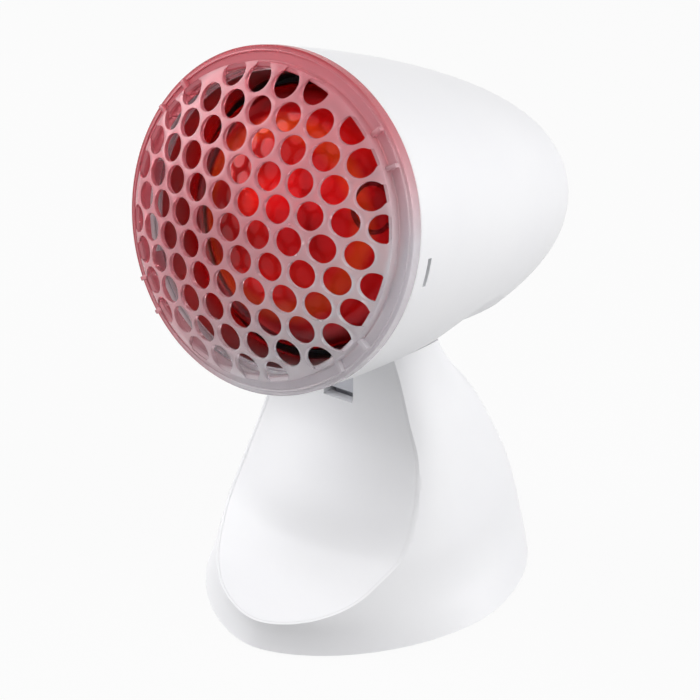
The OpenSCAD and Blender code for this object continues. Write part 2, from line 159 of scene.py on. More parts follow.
def rounded(piece, width, segments=2, angle=40):
    """Small rounding along the sharp edges, in millimetres."""
    only(piece)
    step = piece.modifiers.new("rounded", "BEVEL")
    step.width = width * MM
    step.segments = segments
    step.limit_method = "ANGLE"
    step.angle_limit = math.radians(angle)
    bpy.ops.object.modifier_apply(modifier=step.name)
    return piece


# %% [markdown]
# ## Curves and revolved shapes
# The stand's outline and the bulb's glass follow smooth curves through a few measured
# sizes, in millimetres. A revolved piece, such as a spun reflector or a moulded rim, is
# drawn as a profile of [radius, height] points, one vertex extruded after another, and
# then turned round its axis with the Spin operator.

# %% Curve through knots, profile and spin
def curve(table, x):
    """Smooth value at x through a table of [x, value] knots."""
    last = len(table) - 1
    i = 0
    while i < last - 1 and x >= table[i + 1][0]:
        i += 1

    def slope(k):
        a, b = table[max(k - 1, 0)], table[min(k + 1, last)]
        return (b[1] - a[1]) / (b[0] - a[0])

    (x0, y0), (x1, y1) = table[i], table[i + 1]
    w = x1 - x0
    u = (x - x0) / w
    return ((2 * u**3 - 3 * u**2 + 1) * y0 + (u**3 - 2 * u**2 + u) * w * slope(i)
            + (3 * u**2 - 2 * u**3) * y1 + (u**3 - u**2) * w * slope(i + 1))


def evenly(a, b, n):
    """Values from a to b in n even steps."""
    return [a + (b - a) * i / n for i in range(n + 1)]


def section(name, profile):
    """Closed loop through [radius, height] points in millimetres, left in edit mode."""
    only()
    bpy.ops.mesh.primitive_plane_add(size=MM)
    piece = named(name)
    edit()
    bpy.ops.mesh.merge(type="CENTER")
    points = [Vector((r * MM, 0, h * MM)) for r, h in profile]
    bpy.ops.transform.translate(value=points[0])
    for a, b in zip(points, points[1:] + points[:1]):
        bpy.ops.mesh.extrude_region_move(TRANSFORM_OT_translate={"value": b - a})
    bpy.ops.mesh.select_all(action="SELECT")
    bpy.ops.mesh.remove_doubles(threshold=WELD)
    return piece


def revolve(name, profile, steps=160):
    """Closed section, spun all the way round the Z axis."""
    piece = section(name, profile)
    bpy.ops.mesh.spin(steps=steps, angle=2 * math.pi, center=(0, 0, 0), axis=(0, 0, 1))
    bpy.ops.object.mode_set(mode="OBJECT")
    return closed(piece)


# %% [markdown]
# ## Where the head sits
# The head is modelled lying in its own frame: its axis along Z, the face at height 0 and
# the tail at -180 mm. One matrix then tips it up by 14 degrees and puts the middle of
# the face at its place on the lamp, as in the CAD model.

# %% Head frame
REST_TILT = 14
FACE = Vector((0, -58.5, 166.6)) * MM
head_matrix = (Matrix.Translation(FACE)
               @ Matrix.Rotation(math.radians(90 - REST_TILT), 4, "X"))


def into_head(piece):
    """Tip a piece from the head's own frame into its place on the lamp."""
    return moved(piece, head_matrix)


print("head axis:", [round(v, 3) for v in head_matrix.to_3x3() @ Vector((0, 0, 1))])

# %% [markdown]
# ## Colours and nodes
# Paint charts and photographs give colours as sRGB hex values. Shaders work with linear
# light, so one function turns the one into the other. A second small function adds a
# node with its settings, values and links, and all materials are made with it. A third
# adds a colour ramp with its stops.

# %% Colour and node helpers
def colour(code):
    """Linear RGBA of an sRGB hex value."""
    parts = [int(code[i:i + 2], 16) / 255 for i in (0, 2, 4)]
    return [p / 12.92 if p <= 0.04045 else ((p + 0.055) / 1.055) ** 2.4
            for p in parts] + [1]


def add_node(tree, kind, values=None, links=None, **settings):
    """One node, with its settings, its sockets' values and the links into its sockets."""
    node = tree.nodes.new(kind)
    for name, value in settings.items():
        setattr(node, name, value)
    for socket, value in (values or {}).items():
        node.inputs[socket].default_value = value
    for socket, source in (links or {}).items():
        tree.links.new(source, node.inputs[socket])
    return node


def add_ramp(tree, source, stops):
    """Colour of a ramp with [position, sRGB hex] stops at the source's value."""
    ramp = add_node(tree, "ShaderNodeValToRGB", links={"Fac": source})
    elements = ramp.color_ramp.elements
    while len(elements) < len(stops):
        elements.new(0.5)
    for stop, (position, code) in zip(elements, stops):
        stop.position = position
        stop.color = colour(code)
    return ramp.outputs["Color"]


def new_material(name):
    """Empty node material, its tree, and the Object coordinates that patterns use."""
    material = bpy.data.materials.new(name)
    material.use_nodes = True
    material.node_tree.nodes.clear()
    place = add_node(material.node_tree, "ShaderNodeTexCoord")
    return material, material.node_tree, place.outputs["Object"]


# %% [markdown]
# ## A finish with a fine grain
# Most pieces are one material with a slight life of its own: a moulding's colour drifts
# a little, its gloss changes from place to place, and its skin has a fine grain. Three
# noise patterns give that: a wide one mixes two close colours, a middle one moves the
# roughness, and a fine one lifts the surface. Their scales come from real sizes in
# millimetres.

# %% Finish with colour drift, uneven gloss and grain
def finish(name, light, dark, rough=(0.3, 0.4), drift_mm=40, gloss_mm=6, grain_mm=0.8,
           lift_mm=0.01, shader=None, stretch=(1, 1, 1)):
    """Material between two close colours, with pattern sizes in millimetres."""
    material, tree, place = new_material(name)
    along = add_node(tree, "ShaderNodeMapping", {"Scale": stretch}, {"Vector": place})
    wide, middle, fine = [
        add_node(tree, "ShaderNodeTexNoise", {"Scale": 1 / (size * MM), "Detail": 3},
                 {"Vector": along.outputs[0]}) for size in (drift_mm, gloss_mm, grain_mm)]
    tone = add_ramp(tree, wide.outputs["Fac"], [(0.3, dark), (0.7, light)])
    gloss = add_node(tree, "ShaderNodeMapRange", {"To Min": rough[0], "To Max": rough[1]},
                     {"Value": middle.outputs["Fac"]})
    bump = add_node(tree, "ShaderNodeBump", {"Distance": lift_mm * MM, "Strength": 0.6},
                    {"Height": fine.outputs["Fac"]})
    skin = add_node(tree, "ShaderNodeBsdfPrincipled", shader,
                    {"Base Color": tone, "Roughness": gloss.outputs[0],
                     "Normal": bump.outputs["Normal"]})
    add_node(tree, "ShaderNodeOutputMaterial", links={"Surface": skin.outputs[0]})
    return material


# %% [markdown]
# ## The white moulding
# The housing, the stand and its cover are white ABS, injection moulded in a finely
# satined tool. The eye gets a clean cool white with wide, well blurred reflections.
# ABS has an IOR of about 1.54. The grain is only an orange-peel wave a few millimetres
# wide, because the mould's fine satin leaves no other texture. The tilt arm, which mostly
# hides in its slot in the shade of the head, is the same white ABS with a finer grain; its
# pale grey colour is painted shade.

# %% White ABS, satined mould
ABS = {"IOR": 1.54}
white_abs = finish("white_abs_fine_satin", "F4F4F6", "F1F1F4", rough=(0.4, 0.48),
                   drift_mm=60, gloss_mm=14, grain_mm=5, lift_mm=0.012, shader=ABS)
# The arm's pale grey is painted shade: it is white ABS lying in the head's shade.
arm_abs_painted_shade = finish("white_abs_satin_painted_shade", "CFD0D7", "C8C9D1", rough=(0.34, 0.42), drift_mm=20,
                 grain_mm=0.5, lift_mm=0.01, shader=ABS)
print("made", white_abs.name, arm_abs_painted_shade.name)

# %% [markdown]
# ## Metals, rubber and ceramic of the small pieces
# Zinc-plated screws and brackets have a pale, slightly blue metal with a crystalline
# spangle. The spun reflector bowl round the bulb is satin aluminium. The weight in the
# foot is a painted iron casting, and the feet and the cord's grommet are matt rubber.
# The lamp holder is cream glazed steatite, and its contacts are brass. After the two
# colours and the roughness, each line gives the sizes of the drift, of the gloss and of
# the grain, and the grain's lift, all in millimetres.

# %% The other finishes
METAL = {"Metallic": 1.0}
GLAZE = {"Coat Weight": 0.6, "Coat Roughness": 0.05}
ALONG_STRIP = (1, 8, 8)
finishes = {
    "plate_grey": finish("polypropylene_grey", "C9CACC", "BFC0C3", (0.45, 0.6),
                         grain_mm=0.7, lift_mm=0.03),
    "foot_rubber": finish("rubber_dark_grey", "4A4A4D", "3C3C3F", (0.6, 0.8),
                          12, 3, 0.4, 0.03),
    "screw_steel": finish("zinc_plated_steel", "C6C8CC", "A9ACB2", (0.25, 0.45),
                          3, 1.5, 0.3, 0.01, METAL),
    "ballast_iron": finish("cast_iron_painted", "56575A", "45464A", (0.5, 0.75),
                           15, 3, 1.2, 0.12),
    "gland_rubber": finish("rubber_black", "2E2E31", "232326", (0.55, 0.75),
                           8, 2, 0.4, 0.03),
    "block_plastic": finish("polyamide_natural", "E9E6DA", "DDD9CB", (0.4, 0.55),
                            10, 3, 0.5, 0.02),
    "bracket_steel": finish("zinc_plated_sheet", "C3C6CA", "AEB2B8", (0.28, 0.42),
                            5, 2, 0.5, 0.01, METAL),
    "spring_steel": finish("spring_steel_strip", "B4B6B9", "9A9CA0", (0.2, 0.34),
                           4, 1, 0.25, 0.008, METAL, ALONG_STRIP),
    "holder_ceramic": finish("steatite_cream_glaze", "EDE7D3", "E2DAC2", (0.1, 0.2),
                             12, 4, 1.5, 0.02, GLAZE),
    "contact_brass": finish("brass_plated", "D9B765", "B98F3E", (0.2, 0.4),
                            4, 1.5, 0.3, 0.01, METAL),
    "filament_tungsten": finish("tungsten_wire", "6E6A66", "55514E", (0.35, 0.5),
                                2, 1, 0.2, 0.01, METAL),
    "cap_nickel": finish("nickel_plated_brass", "CFCBC2", "B5B0A6", (0.15, 0.3),
                         5, 2, 0.3, 0.01, METAL),
    "insulator_glass": finish("vitrite_black_glass", "17171A", "0E0E10", (0.08, 0.2),
                              5, 2, 0.6, 0.02),
    "housing_white": white_abs, "cover_white": white_abs, "arm_white": arm_abs_painted_shade,
}
print("finishes:", len(finishes))

# %% [markdown]
# ## The stand's drop-shaped body
# The stand is one smooth drop: wide and nearly oval at the table, leaning into a narrow
# neck. A lathe can't make it, because its front, back and sides differ at each height.
# A ring of points is extruded upwards level by level, and each level's points are then
# moved onto that level's outline, which is an ellipse, slightly pointed at the toe and
# squarer towards the neck.

# %% Stand body, level by level
SIDES, RING_R = 160, 50
WIDE = [[0, 62.5], [3, 60.8], [8, 58.2], [15, 54.8], [23, 52.4], [33, 50.5], [45, 47.3],
        [70, 39.8], [90, 34], [108, 30.5]]
REAR = [[0, 73.5], [8, 73.3], [15, 72], [23, 70.2], [33, 66.9], [45, 61.7], [70, 46.4],
        [90, 27.5], [108, 12]]
FRONT = [[0, 73.5], [3, 72.1], [8, 70.7], [15, 70], [23, 65.5], [33, 54.9], [45, 44],
         [70, 28.8], [90, 26], [108, 23.5]]
FRONT_SQUARE = [[0, 1.69], [8, 1.77], [15, 1.82], [23, 1.9], [33, 2.07], [45, 2.18],
                [70, 2.3], [108, 2.3]]
REAR_SQUARE = [[0, 2.02], [8, 2.14], [15, 2.24], [23, 2.3], [108, 2.3]]


def on_outline(angle, z, inset):
    """Point of the stand's outline at a height and an angle, in millimetres."""
    c, s = math.cos(angle), math.sin(angle)
    power = 2 / curve(REAR_SQUARE if s > 0 else FRONT_SQUARE, z)
    reach = curve(REAR if s > 0 else FRONT, z) - inset
    return ((curve(WIDE, z) - inset) * math.copysign(abs(c) ** power, c),
            reach * math.copysign(abs(s) ** power, s), z)


def stand_body(name, inset=0, low=1, high=108, step=1.5):
    """Closed drop between two heights, set in from the outline by some millimetres."""
    only()
    bpy.ops.mesh.primitive_circle_add(vertices=SIDES, radius=RING_R * MM, fill_type="NGON",
                                      location=(0, 0, low * MM))
    piece = named(name)
    edit()
    levels = round((high - low) / step)
    for _ in range(levels):
        bpy.ops.mesh.extrude_region_move(
            TRANSFORM_OT_translate={"value": (0, 0, (high - low) / levels * MM)})
    bpy.ops.object.mode_set(mode="OBJECT")
    for v in piece.data.vertices:
        v.co = Vector(on_outline(math.atan2(v.co.y, v.co.x), v.co.z / MM, inset)) * MM
    return closed(piece)


# %% [markdown]
# ## The surface of the front cover
# The cover's face is a gently crowned sheet that leans back from the toe to the neck.
# Where it meets the drop it draws the long teardrop edge that is the stand's main line.
# A grid is bent onto that sheet and extruded backwards, which gives a block to cut with.
# One table gives how far forward the sheet lies at each height, and one how far it has
# curved back COVER_HALF from the middle.

# %% Block behind the cover's surface
COVER_FRONT = [[0, 90], [8, 76], [12, 69], [16.5, 60.2], [19.5, 55.1], [23, 50.6],
               [28, 45.9], [33, 42], [45, 35.8], [59, 26.9], [70, 20.4], [81, 16.9],
               [95, 16.4], [108, 17]]
COVER_BULGE = [[0, 4], [22.4, 5], [33, 8.5], [45, 11], [59, 9.5], [70, 6], [81, 2],
               [95, 1.4], [108, 1.4]]
COVER_HALF = 40
SHEET_WIDE, SHEET_HIGH, SHEET_MIDDLE, CUT_DEPTH = 140, 117, 52.5, 200


def behind_cover(name, back=0):
    """Block behind the cover's sheet, which is set back by some millimetres."""
    only()
    bpy.ops.mesh.primitive_grid_add(x_subdivisions=64, y_subdivisions=90, size=1)
    piece = named(name)
    for v in piece.data.vertices:
        x, z = SHEET_WIDE * v.co.x, SHEET_MIDDLE + SHEET_HIGH * v.co.y
        y = back - curve(COVER_FRONT, z) + curve(COVER_BULGE, z) * (x / COVER_HALF) ** 2
        v.co = Vector((x, y, z)) * MM
    edit()
    bpy.ops.mesh.extrude_region_move(
        TRANSFORM_OT_translate={"value": (0, CUT_DEPTH * MM, 0)})
    bpy.ops.object.mode_set(mode="OBJECT")
    return closed(piece)


# %% [markdown]
# ## Room for the head
# The stand's top is a saddle that the bullet-shaped head rolls in. The cutter is the
# head's own revolved form, a little larger, at rest and at each of the other clicks. A
# slot in the middle lets the tilt arm through.

# %% Saddle and slot cutters
PIVOT = Vector((0, 5, 84)) * MM
CLICK, CLICKS = 5, 5
HEAD_R, HEAD_LEN = 59.8, 180
GAP = 0.3
RELIEF_R, RELIEF_S, RELIEF_D, RELIEF_SIDE = 120, 103.3, 166.7, 38
ROOM_FROM, ROOM_TO = 12, 128
SLOT_HALF, SLOT_FLOOR, SLOT_FRONT, SLOT_REAR, SLOT_TOP = 6.7, 81, -100, 24, 140


def bullet(s):
    """Radius of the head at the distance s behind its face."""
    return HEAD_R * (1 - (s / HEAD_LEN) ** 1.5) ** (1 / 2.75)


def relief(s):
    """Distance of the underside's hollow from the head's axis."""
    return RELIEF_D - math.sqrt(RELIEF_R**2 - (s - RELIEF_S) ** 2)


def head_room(tilt):
    """Cutter with the head's form at one tilt, in degrees from rest."""
    stations = evenly(ROOM_FROM, ROOM_TO, 24)
    tipped = 1 / math.cos(math.radians(RELIEF_SIDE / 2))
    radii = [bullet(s) + GAP if tilt == 0 else min(bullet(s), relief(s) * tipped) + 2 * GAP
             for s in stations]
    side = [[r, -s] for r, s in zip(radii, stations)]
    cutter = revolve("head_room", [[0, -ROOM_FROM]] + side + [[0, -ROOM_TO]], 120)
    into_head(cutter)
    turn = Matrix.Rotation(math.radians(-tilt), 4, "X")
    return moved(cutter, Matrix.Translation(PIVOT) @ turn @ Matrix.Translation(-PIVOT))


def block(name, low, high):
    """Plain block between two corners in millimetres, as a cutter."""
    only()
    size = [b - a for a, b in zip(low, high)]
    middle = [(a + b) / 2 * MM for a, b in zip(low, high)]
    bpy.ops.mesh.primitive_cube_add(size=1, location=middle, scale=[v * MM for v in size])
    return named(name)


def open_top(piece):
    """Cut the saddle for every click, and the slot for the tilt arm."""
    for click in range(CLICKS):
        combine(piece, head_room(CLICK * click))
    combine(piece, block("slot", (-SLOT_HALF, SLOT_FRONT, SLOT_FLOOR),
                         (SLOT_HALF, SLOT_REAR, SLOT_TOP)))
    return piece


# %% [markdown]
# ## Shell and cover
# The shell is the drop cut off along the cover's surface, with a pocket just inside
# its edge and a way for the cord behind its grommet. The cover fills the pocket and
# leaves a hairline seam, so the two mouldings read as one form with a crisp teardrop
# line.

# %% Stand shell
COVER_T, COVER_RIM, SEAM = 2.6, 0.7, 0.1
COVER_LOW, ARM_FRONT, ARM_LOW, ARM_HIGH = 4, -12.5, 66, 82
CORD_R, CORD_WAY, CORD_Y, CORD_Z = 3.4, 60, 50, 15
STAND_CREASE = 32
shell = combine(stand_body("stand_shell"), behind_cover("front_cut"), "INTERSECT")
pocket = combine(stand_body("pocket", COVER_RIM, COVER_LOW),
                 behind_cover("pocket_floor", COVER_T + SEAM))
combine(shell, pocket)
open_top(shell)
combine(shell, block("arm_pocket", (-SLOT_HALF, ARM_FRONT, ARM_LOW),
                     (SLOT_HALF, SLOT_REAR, ARM_HIGH)))
only()
bpy.ops.mesh.primitive_cylinder_add(vertices=48, radius=CORD_R * MM, depth=CORD_WAY * MM,
                                    location=(0, CORD_Y * MM, CORD_Z * MM),
                                    rotation=(math.radians(90), 0, 0))
combine(shell, named("cord_way"))
smooth(closed(shell), STAND_CREASE)
shell.data.materials.append(white_abs)
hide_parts("base_shell")
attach(shell, "stand")
print("shell faces:", len(shell.data.polygons))

# %% Front cover
cover = combine(stand_body("stand_front_cover", COVER_RIM + SEAM, COVER_LOW),
                behind_cover("cover_face"), "INTERSECT")
combine(cover, behind_cover("cover_back", COVER_T))
open_top(cover)
smooth(closed(cover), STAND_CREASE)
cover.data.materials.append(white_abs)
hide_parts("front_cover")
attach(cover, "stand")
print("cover faces:", len(cover.data.polygons))

# %% [markdown]
# ## The bullet head
# The housing is one moulded bullet, round from the rim to the tail, with a shallow
# hollow under it that lets it roll over the stand. Its wall is drawn as a closed profile,
# outside and inside, and spun. Three wide rollers then press the hollow into it. Names
# that end in S are distances behind the face.

# %% Head housing
def spread(a, b, n):
    """Distances from a to b, closer together towards b."""
    return [a + (b - a) * math.sin(math.pi / 2 * i / n) for i in range(n + 1)]


WALL, LIP_R, MOUTH_R, LEDGE_R, SKIRT_EDGE = 2.4, 57.3, 55.4, 53.4, 0.5
LIP_S, SKIRT_S, SKIN_S, LEDGE_S, INNER_S, INNER_TAIL_S = 1.9, 5, 5.5, 8, 9.6, 174
ROUND_STEPS, ROLLER_LEN = 192, 180
outside = [[bullet(s), -s] for s in spread(SKIN_S, HEAD_LEN - 0.1, 70)]
inside = [[min(bullet(s), relief(s)) - WALL, -s]
          for s in spread(INNER_S, INNER_TAIL_S - 1, 50)]
profile = ([[LIP_R, -SKIRT_S], [bullet(SKIN_S) - SKIRT_EDGE, -SKIRT_S]] + outside
           + [[0, -HEAD_LEN], [0, -INNER_TAIL_S]] + inside[::-1]
           + [[LEDGE_R, -INNER_S], [LEDGE_R, -LEDGE_S], [MOUTH_R, -LEDGE_S],
              [MOUTH_R, -LIP_S], [LIP_R, -LIP_S]])
housing = revolve("head_shell", profile, ROUND_STEPS)
for side in (-RELIEF_SIDE, 0, RELIEF_SIDE):
    only()
    bpy.ops.mesh.primitive_cylinder_add(vertices=360, radius=RELIEF_R * MM,
                                        depth=ROLLER_LEN * MM)
    roller = moved(named("relief_roller"),
                   Matrix.Rotation(math.radians(side), 4, "Z")
                   @ Matrix.Translation(Vector((0, -RELIEF_D, -RELIEF_S)) * MM)
                   @ Matrix.Rotation(math.pi / 2, 4, "Y"))
    combine(housing, roller)
print("housing faces:", len(housing.data.polygons))

# %% [markdown]
# ## The latch slots
# On each side, a little below the middle and just behind the rim, a narrow slot lets a
# screwdriver reach the grille's latch. It is a slim block cut through the wall.

# %% Latch slots and finish of the housing
LATCHES = (-4.5, 184.5)
LATCH_LEN, LATCH_S, LATCH_END_S, LATCH_IN, LATCH_OUT = 10, 11.2, 13.4, 50, 70
for degrees in LATCHES:
    slot = block("latch_slot", (LATCH_IN, -LATCH_LEN / 2, -LATCH_END_S),
                 (LATCH_OUT, LATCH_LEN / 2, -LATCH_S))
    combine(housing, turned(slot, degrees))
into_head(closed(housing))
smooth(housing, 25)
housing.data.materials.append(white_abs)
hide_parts("head_housing")
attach(housing, "head")
print("housing faces:", len(housing.data.polygons))

# %% [markdown]
# ## The heat shield
# A spun aluminium bowl hangs in the housing behind the bulb and throws its heat forward.
# Spinning leaves fine rings round the axis, so its grain is a ring pattern: a Wave
# texture that reads the distance from the axis, with its coordinates tipped into the
# head's frame by a Mapping node.

# %% Satin aluminium with spinning rings
HEAD_TURN = (math.radians(-(90 - REST_TILT)), 0, 0)
shield_metal, tree, place = new_material("aluminium_spun_satin")
centred = add_node(tree, "ShaderNodeMapping", {"Location": -FACE}, {"Vector": place})
upright = add_node(tree, "ShaderNodeMapping", {"Rotation": HEAD_TURN},
                   {"Vector": centred.outputs[0]})
rings = add_node(tree, "ShaderNodeTexWave", {"Scale": 120, "Distortion": 0.6, "Detail": 2},
                 {"Vector": upright.outputs[0]}, wave_type="RINGS", rings_direction="Z")
cloud = add_node(tree, "ShaderNodeTexNoise", {"Scale": 60}, {"Vector": place})
tone = add_ramp(tree, cloud.outputs["Fac"], [(0, "C9CACD"), (1, "E2E3E5")])
gloss = add_node(tree, "ShaderNodeMapRange", {"To Min": 0.22, "To Max": 0.4},
                 {"Value": rings.outputs["Fac"]})
bump = add_node(tree, "ShaderNodeBump", {"Distance": 0.02 * MM, "Strength": 0.5},
                {"Height": rings.outputs["Fac"]})
skin = add_node(tree, "ShaderNodeBsdfPrincipled", METAL,
                {"Base Color": tone, "Roughness": gloss.outputs[0],
                 "Normal": bump.outputs[0]})
add_node(tree, "ShaderNodeOutputMaterial", links={"Surface": skin.outputs[0]})
finishes["shield_aluminium"] = shield_metal

# %% Heat shield bowl
SHIELD = [[6, 52.4], [12, 52.2], [30, 50], [50, 46], [60, 41], [75, 34.5], [92, 27]]
SHIELD_T, BRIM_R, BRIM_S, BOWL_S, BOWL_END_S = 0.8, 55.1, 7.2, 8, 92
bowl = evenly(BOWL_S, BOWL_END_S, 40)
profile = ([[BRIM_R, -BRIM_S], [BRIM_R, -BOWL_S]] + [[curve(SHIELD, s), -s] for s in bowl]
           + [[curve(SHIELD, s) - SHIELD_T, -s] for s in bowl[::-1]]
           + [[curve(SHIELD, BOWL_S) - SHIELD_T, -BRIM_S]])
shield = smooth(into_head(revolve("heat_shield_bowl", profile)), 35)
shield.data.materials.append(shield_metal)
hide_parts("heat_shield")
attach(shield, "head")
print("shield faces:", len(shield.data.polygons))

# %% [markdown]
# ## The ruby bulb
# The bulb is a pressed reflector lamp: a slightly domed ruby front, and behind it a glass
# bowl with aluminium evaporated onto its inside. Through the red front the eye looks into
# that mirror. So the bulb is made as two pieces: the thin ruby face with its round
# shoulder, and the mirrored bowl with its neck.

# %% Shape of the bulb
BULB_R, FACE_R, FACE_EDGE, BULB_S, GLASS_T, CAP_S = 47.5, 100, 36, 4, 1.2, 112
face_angle = math.asin(FACE_EDGE / FACE_R)
shoulder_r = (BULB_R - FACE_EDGE) / (1 - math.sin(face_angle))
widest = BULB_S + FACE_R - (FACE_R - shoulder_r) * math.cos(face_angle)
BACK = [[widest, BULB_R], [40, BULB_R - 1.6], [55, 41], [70, 33], [85, 24], [97, 17.5],
        [105, 14.8], [CAP_S, 12.9]]


def front_glass(t):
    """Ruby front from the middle to the widest place, t millimetres inside."""
    dome = [[(FACE_R - t) * math.sin(a), (FACE_R - t) * math.cos(a) - FACE_R - BULB_S]
            for a in evenly(0, face_angle, 24)]
    turns = evenly(face_angle, math.pi / 2, 16)[1:]
    return dome + [[BULB_R - shoulder_r + (shoulder_r - t) * math.sin(a),
                    (shoulder_r - t) * math.cos(a) - widest] for a in turns]


def back_glass(t):
    """Reflector from the widest place to the cap, t millimetres inside."""
    return [[curve(BACK, s) - t, -s] for s in evenly(widest, CAP_S, 48)]


# %% [markdown]
# Ruby glass is clear glass with selenium red stain: it lets red through and little else.
# A full refraction shader with a red colour gives the depth, and a red tint on its
# reflections keeps the glass deep in a white room. A ring of orange where the face turns
# into the shoulder, and the deeper red outside it, are painted reflection: the mirrored
# bowl's zones as seen through the glass, put into the colour. A slow noise keeps the ring
# from being a perfect circle. The mirror behind it is aluminium.

# %% Ruby glass and mirror
ruby, tree, place = new_material("ruby_stained_glass_painted_ring")
# The orange stop and the deeper red beyond it are painted reflection; the red before them
# is the glass's own.
RUBY_AND_REFLECTED_RING = [(0, "F5525A"), (0.62, "F55254"), (0.7, "FFA050"), (0.76, "FFA050"),
         (0.83, "F0384A"), (1, "F0384A")]
RUBY_RAMP_REACH, RING_DRIFT, DRIFT_SIZE = 50, 5, 22
centred = add_node(tree, "ShaderNodeMapping", {"Location": -FACE}, {"Vector": place})
radius = add_node(tree, "ShaderNodeVectorMath", {}, {0: centred.outputs[0]},
                  operation="LENGTH")
cloud = add_node(tree, "ShaderNodeTexNoise", {"Scale": 1 / (DRIFT_SIZE * MM), "Detail": 1},
                 {"Vector": place})
drift = add_node(tree, "ShaderNodeMath", {1: RING_DRIFT * MM}, {0: cloud.outputs["Fac"]},
                 operation="MULTIPLY")
from_middle = add_node(tree, "ShaderNodeMath", {}, {0: radius.outputs["Value"],
                                                    1: drift.outputs[0]}, operation="ADD")
share = add_node(tree, "ShaderNodeMapRange", {"From Min": 0, "From Max": RUBY_RAMP_REACH * MM},
                 {"Value": from_middle.outputs[0]})
skin = add_node(tree, "ShaderNodeBsdfPrincipled",
                {"Roughness": 0.03, "IOR": 1.5, "Transmission Weight": 1.0,
                 "Specular Tint": colour("D06670")},
                {"Base Color": add_ramp(tree, share.outputs[0], RUBY_AND_REFLECTED_RING)})
add_node(tree, "ShaderNodeOutputMaterial", links={"Surface": skin.outputs[0]})
finishes["bulb_ruby"] = ruby
finishes["stem_glass"] = finish("clear_lead_glass", "F4F6F6", "EDF1F1", (0.0, 0.03),
                                shader={"IOR": 1.52, "Transmission Weight": 1.0})
mirror = finish("aluminium_mirror_coat", "F0EFEE", "E6E5E4", (0.2, 0.26), 30, 10, 14, 0.0,
                METAL)

# %% Ruby face and mirrored bowl
GLASS_CREASE = 50
face = revolve("bulb_ruby_face", front_glass(0) + front_glass(GLASS_T)[::-1])
smooth(into_head(face), GLASS_CREASE)
face.data.materials.append(ruby)
reflector = revolve("bulb_mirror_bowl", back_glass(0) + back_glass(GLASS_T)[::-1])
smooth(into_head(reflector), GLASS_CREASE)
reflector.data.materials.append(mirror)
for piece in (face, reflector):
    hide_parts("bulb_glass")
    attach(piece, "bulb")
print("bulb faces:", len(face.data.polygons) + len(reflector.data.polygons))

# %% [markdown]
# ## The safety grille
# The grille is one clear moulding: a shallow dome with a honeycomb of round holes inside
# a smooth ring, on a flange that snaps over the housing. The holes are cut while the
# dome is still a flat plate, because the rounding of their edges comes out even there.
# Then the plate is bent onto the sphere of the dome.

# %% Hole places and the perforated plate
PITCH, HOLE_R, GRILLE_T, HOLE_LIMIT, FLAT_AT = 11.3, 4.9, 2, 52, 53
DOME_EDGE, DOME_H, EDGE_H = 54.5, 21, 4.2
ROWS, COLUMNS, DRILL_LEN, HOLE_ROUND = 5, 8, 20, 0.18
holes = []
for row in range(-ROWS, ROWS + 1):
    for i in range(-COLUMNS, COLUMNS + 1):
        x, y = PITCH * (i + (abs(row) % 2) / 2), PITCH * math.sqrt(3) / 2 * row
        if math.hypot(x, y) < HOLE_LIMIT:
            holes.append((x, y))
print("holes:", len(holes))

only()
bpy.ops.mesh.primitive_cylinder_add(vertices=ROUND_STEPS, radius=DOME_EDGE * MM,
                                    depth=GRILLE_T * MM)
plate = named("safety_grille_clear")
only()
for x, y in holes:
    bpy.ops.mesh.primitive_cylinder_add(vertices=40, radius=HOLE_R * MM,
                                        depth=DRILL_LEN * MM,
                                        location=(x * MM, y * MM, 0))
    named("drill")
    r = math.hypot(x, y)
    if r + HOLE_R > FLAT_AT:
        edit()
        bpy.ops.mesh.bisect(plane_co=(x / r * FLAT_AT * MM, y / r * FLAT_AT * MM, 0),
                            plane_no=(x / r, y / r, 0), clear_outer=True, use_fill=True)
        bpy.ops.object.mode_set(mode="OBJECT")
for piece in [o for o in bpy.data.objects if o.name.startswith("drill")]:
    piece.select_set(True)
bpy.ops.object.join()
combine(plate, bpy.context.object)
rounded(plate, HOLE_ROUND, angle=50)
print("plate faces:", len(plate.data.polygons))

# %% Bend the plate onto the dome
only(plate)
edit()
bpy.ops.mesh.quads_convert_to_tris()
bpy.ops.mesh.beautify_fill()
bpy.ops.object.mode_set(mode="OBJECT")
DOME_R = (DOME_EDGE**2 + (DOME_H - EDGE_H) ** 2) / (2 * (DOME_H - EDGE_H)) * MM
for v in plate.data.vertices:
    v.co.z += (DOME_H * MM - DOME_R + math.sqrt(DOME_R**2 - v.co.x**2 - v.co.y**2)
               - MM * GRILLE_T / 2)

# %% [markdown]
# The ring round the dome is spun from its section: a short wall down to the flange, the
# flange, a fine bead along it, and the skirt that reaches back over the housing.

# %% Rim of the grille
rim_profile = [[54.2, 4.1], [54.5, 3.8], [54.5, 0.25], [54.8, 0], [57.7, 0], [57.9, 0.5],
               [58.2, 0.6], [58.5, 0.5], [58.7, 0], [59.7, -0.1], [60, -0.4], [60, -4.4],
               [59.7, -4.7], [57.9, -4.7], [57.6, -4.4], [57.6, -1.6], [52.5, -1.6],
               [52.5, 3.2], [53, 3.9]]
rim = revolve("grille_rim", rim_profile, ROUND_STEPS)

# %% [markdown]
# Four snap clips sit inside the rim, each between two thin ribs that stiffen it, and a
# latch tongue reaches to the slot on each side. A rib is a small block, turned into
# place; a tongue is a short piece of a spun section.

# %% Ribs and tongues
BARB = [[53.1, 0.2], [53.1, -6.6], [54.1, -6.6], [55.1, -5], [54.5, -4.4], [54.5, 0.2]]
CLIPS = [38, -39.5, 142, 219.5]
TONGUE_HALF, RIB_AWAY = 5, 6.5
RIB_LOW, RIB_HIGH, RIB_ROUND = (52, -0.75, -1), (58.6, 0.75, 2.6), 0.2


